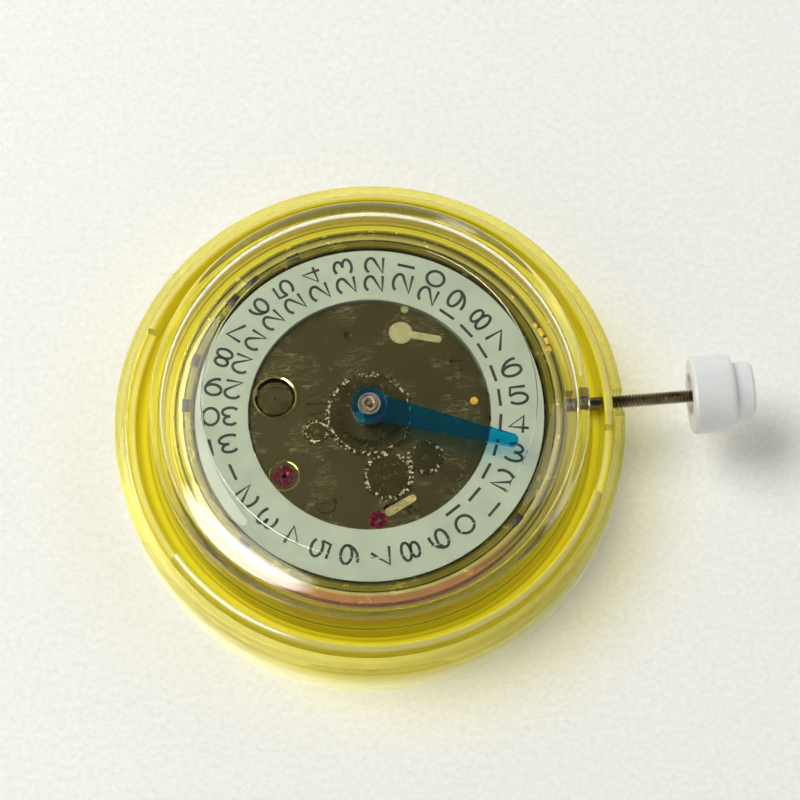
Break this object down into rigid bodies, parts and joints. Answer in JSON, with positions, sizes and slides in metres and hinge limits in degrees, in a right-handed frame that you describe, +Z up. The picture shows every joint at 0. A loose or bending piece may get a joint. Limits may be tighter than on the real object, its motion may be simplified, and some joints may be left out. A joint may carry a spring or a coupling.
{
  "type": "automatic watch movement",
  "caption": "Automatic mechanical watch movement with a 24 hour hand wheel, date ring, stem and crown, in a clear tray, yellow holder and clear lid.",
  "frame": {"origin": "centre of the tray's underside, on the movement's centre axis", "axes": "+Z up from the tray to the dial side, +X from the centre to the crown, +Y to twelve o'clock"},
  "size_m": [0.0424, 0.0338, 0.0107],
  "materials": {
    "clear_plastic": "clear polystyrene",
    "yellow_plastic": "yellow moulded plastic",
    "white_plastic": "white translucent plastic",
    "blue_plastic": "blue translucent plastic",
    "date_white": "satin white lacquer",
    "calendar_metal": "satin with fine scratches",
    "plate_metal": "nickel plated brass",
    "bridge_metal": "nickel plated, striped",
    "jewel": "polished synthetic ruby",
    "gilt": "gilt brass",
    "steel": "polished steel",
    "spring_steel": "blued spring alloy",
    "rotor_metal": "nickel plated heavy metal"
  },
  "bodies": {
    "root": {"tray": "clear_plastic", "movement_holder": "yellow_plastic", "mainplate": "plate_metal", "train_bridge": "bridge_metal", "balance_cock": "bridge_metal", "pallet_bridge": "bridge_metal", "automatic_bridge": "bridge_metal", "calendar_plate": "calendar_metal", "plate_jewels": "jewel", "bridge_jewels": "jewel", "bridge_screws": "steel", "calendar_screws": "steel", "shock_settings": "gilt", "click_spring": "steel", "hairspring": "spring_steel", "setting_lever_spring": "steel", "yoke_spring": "steel", "date_jumper": "steel", "rotor_screw": "steel"},
    "lid": {"clear_lid": "clear_plastic"},
    "rotor": {"rotor_weight": "rotor_metal", "rotor_hub": "steel"},
    "balls": {"ball_race": "steel"},
    "reverser": {"reverser_gear": "gilt"},
    "winding_pinion": {"winding_pinion": "steel"},
    "stem": {"winding_stem": "steel", "crown": "white_plastic"},
    "clutch": {"sliding_clutch": "steel"},
    "crown_wheel": {"crown_wheel": "steel"},
    "ratchet": {"ratchet_wheel": "steel", "ratchet_screw": "steel", "barrel_arbor": "steel"},
    "reduction": {"reduction_wheel": "gilt"},
    "reverser_pinion": {"reverser_pinion": "steel"},
    "setting_lever": {"setting_lever": "steel"},
    "yoke": {"yoke": "steel"},
    "click": {"click": "steel"},
    "fourth": {"fourth_wheel": "gilt"},
    "third": {"third_wheel": "gilt"},
    "centre": {"centre_wheel": "gilt"},
    "barrel": {"barrel_drum": "gilt", "barrel_cover": "gilt", "mainspring": "spring_steel"},
    "escape": {"escape_wheel": "steel"},
    "fork": {"pallet_fork": "steel", "pallet_stones": "jewel"},
    "balance": {"balance_wheel": "gilt", "roller": "gilt"},
    "regulator": {"regulator": "steel"},
    "cannon": {"cannon_pinion": "steel"},
    "minute": {"minute_wheel": "gilt"},
    "setting": {"setting_wheel": "steel"},
    "hour": {"hour_wheel": "steel", "pointer": "blue_plastic"},
    "gmt_intermediate": {"gmt_intermediate_wheel": "gilt"},
    "gmt": {"gmt_wheel": "steel"},
    "gmt_setting": {"gmt_setting_wheel": "gilt"},
    "corrector": {"corrector_wheel": "gilt"},
    "date_driver": {"date_driving_wheel": "gilt"},
    "date": {"date_ring": "date_white"}
  },
  "joints": [
    {"name": "lid_lift", "type": "slide", "parent": "root", "child": "lid", "axis": [0, 0, 1], "range_m": [0, 0.02]},
    {"name": "rotor_spin", "type": "hinge", "parent": "root", "child": "rotor", "pos_m": [0, 0, 0.005], "axis": [0, 0, 1], "continuous": true},
    {"name": "ball_roll", "type": "hinge", "parent": "root", "child": "balls", "pos_m": [0, 0, 0.005], "axis": [0, 0, 1], "continuous": true},
    {"name": "reverser_turn", "type": "hinge", "parent": "root", "child": "reverser", "pos_m": [-0.00355, 0.00059, 0.005], "axis": [0, 0, 1], "continuous": true},
    {"name": "crown_turn", "type": "hinge", "parent": "root", "child": "winding_pinion", "pos_m": [0, 0, 0.0056], "axis": [1, 0, 0], "continuous": true},
    {"name": "stem_pull", "type": "slide", "parent": "winding_pinion", "child": "stem", "axis": [1, 0, 0], "range_m": [0, 0.0008]},
    {"name": "clutch_shift", "type": "slide", "parent": "winding_pinion", "child": "clutch", "axis": [1, 0, 0], "range_m": [-0.00045, 0]},
    {"name": "setting_lever_turn", "type": "hinge", "parent": "root", "child": "setting_lever", "pos_m": [0.0106, 0.0032, 0.005], "axis": [0, 0, 1], "range_deg": [0, 14.5]},
    {"name": "yoke_turn", "type": "hinge", "parent": "root", "child": "yoke", "pos_m": [0.0094, 0.004, 0.005], "axis": [0, 0, 1], "range_deg": [-9.2, 0], "deforming": ["yoke_spring"]},
    {"name": "crown_wheel_turn", "type": "hinge", "parent": "root", "child": "crown_wheel", "pos_m": [0.00734, 0, 0.005], "axis": [0, 0, 1], "continuous": true},
    {"name": "ratchet_turn", "type": "hinge", "parent": "root", "child": "ratchet", "pos_m": [0.00166, 0.00618, 0.005], "axis": [0, 0, 1], "continuous": true},
    {"name": "reduction_turn", "type": "hinge", "parent": "root", "child": "reduction", "pos_m": [-0.00145, 0.00273, 0.005], "axis": [0, 0, 1], "continuous": true},
    {"name": "reverser_pinion_turn", "type": "hinge", "parent": "root", "child": "reverser_pinion", "pos_m": [-0.00355, 0.00059, 0.005], "axis": [0, 0, 1], "continuous": true},
    {"name": "click_lift", "type": "hinge", "parent": "root", "child": "click", "pos_m": [-0.00084, 0.01051, 0.005], "axis": [0, 0, 1], "range_deg": [0, 12], "stiffness_Nm_per_rad": 0.000002, "deforming": ["click_spring"]},
    {"name": "train_run", "type": "hinge", "parent": "root", "child": "fourth", "pos_m": [0, 0, 0.005], "axis": [0, 0, 1], "continuous": true},
    {"name": "third_turn", "type": "hinge", "parent": "root", "child": "third", "pos_m": [0.00071, -0.00363, 0.005], "axis": [0, 0, 1], "continuous": true},
    {"name": "centre_turn", "type": "hinge", "parent": "root", "child": "centre", "pos_m": [0, 0, 0.005], "axis": [0, 0, 1], "continuous": true},
    {"name": "barrel_turn", "type": "hinge", "parent": "root", "child": "barrel", "pos_m": [0.00166, 0.00618, 0.005], "axis": [0, 0, 1], "continuous": true},
    {"name": "escape_turn", "type": "hinge", "parent": "root", "child": "escape", "pos_m": [-0.00284, -0.00222, 0.005], "axis": [0, 0, 1], "continuous": true},
    {"name": "fork_rock", "type": "hinge", "parent": "root", "child": "fork", "pos_m": [-0.00423, -0.00052, 0.005], "axis": [0, 0, 1], "range_deg": [-5.5, 5.5]},
    {"name": "balance_swing", "type": "hinge", "parent": "root", "child": "balance", "pos_m": [-0.00612, 0.00179, 0.005], "axis": [0, 0, 1], "range_deg": [-270, 270], "deforming": ["hairspring"]},
    {"name": "regulator_adjust", "type": "hinge", "parent": "root", "child": "regulator", "pos_m": [-0.00612, 0.00179, 0.005], "axis": [0, 0, 1], "range_deg": [-15, 15], "deforming": ["hairspring"]},
    {"name": "hands_set", "type": "hinge", "parent": "root", "child": "cannon", "pos_m": [0, 0, 0.005], "axis": [0, 0, 1], "continuous": true},
    {"name": "minute_turn", "type": "hinge", "parent": "root", "child": "minute", "pos_m": [0.0024, 0, 0.005], "axis": [0, 0, 1], "continuous": true},
    {"name": "setting_turn", "type": "hinge", "parent": "root", "child": "setting", "pos_m": [0.00575, 0, 0.005], "axis": [0, 0, 1], "continuous": true},
    {"name": "hour_turn", "type": "hinge", "parent": "root", "child": "hour", "pos_m": [0, 0, 0.005], "axis": [0, 0, 1], "continuous": true},
    {"name": "gmt_intermediate_turn", "type": "hinge", "parent": "root", "child": "gmt_intermediate", "pos_m": [0.00086, -0.00437, 0.005], "axis": [0, 0, 1], "continuous": true},
    {"name": "gmt_turn", "type": "hinge", "parent": "root", "child": "gmt", "pos_m": [0, 0, 0.005], "axis": [0, 0, 1], "continuous": true},
    {"name": "gmt_setting_turn", "type": "hinge", "parent": "root", "child": "gmt_setting", "pos_m": [0.00339, -0.00329, 0.005], "axis": [0, 0, 1], "continuous": true},
    {"name": "corrector_turn", "type": "hinge", "parent": "root", "child": "corrector", "pos_m": [-0.00358, -0.00092, 0.005], "axis": [0, 0, 1], "continuous": true},
    {"name": "date_drive_turn", "type": "hinge", "parent": "root", "child": "date_driver", "pos_m": [-0.001, 0.00567, 0.005], "axis": [0, 0, 1], "continuous": true},
    {"name": "date_ring_turn", "type": "hinge", "parent": "root", "child": "date", "pos_m": [0, 0, 0.005], "axis": [0, 0, 1], "continuous": true, "deforming": ["date_jumper"]}
  ],
  "couplings": [
    {"joint": "ball_roll", "follows": "rotor_spin", "ratio": 0.6},
    {"joint": "reverser_turn", "follows": "rotor_spin", "ratio": -1},
    {"joint": "clutch_shift", "follows": "stem_pull", "ratio": -0.5625},
    {"joint": "setting_lever_turn", "follows": "stem_pull", "rad_per_m": 312.5},
    {"joint": "yoke_turn", "follows": "stem_pull", "rad_per_m": -195.31},
    {"joint": "crown_wheel_turn", "follows": "crown_turn", "ratio": 0.4},
    {"joint": "ratchet_turn", "follows": "crown_turn", "ratio": -0.44},
    {"joint": "reduction_turn", "follows": "crown_turn", "ratio": 2.75},
    {"joint": "reverser_pinion_turn", "follows": "crown_turn", "ratio": -8.7083},
    {"joint": "third_turn", "follows": "train_run", "ratio": -0.13333},
    {"joint": "centre_turn", "follows": "train_run", "ratio": 0.016667},
    {"joint": "barrel_turn", "follows": "train_run", "ratio": -0.0025},
    {"joint": "escape_turn", "follows": "train_run", "ratio": -12},
    {"joint": "minute_turn", "follows": "hands_set", "ratio": -0.33333},
    {"joint": "setting_turn", "follows": "hands_set", "ratio": 0.3871},
    {"joint": "hour_turn", "follows": "hands_set", "ratio": 0.083333},
    {"joint": "gmt_intermediate_turn", "follows": "hands_set", "ratio": -0.074219},
    {"joint": "gmt_turn", "follows": "hands_set", "ratio": 0.041667},
    {"joint": "gmt_setting_turn", "follows": "hands_set", "ratio": 0.10326},
    {"joint": "corrector_turn", "follows": "hands_set", "ratio": -0.13971},
    {"joint": "date_drive_turn", "follows": "hands_set", "ratio": -0.041667}
  ]
}
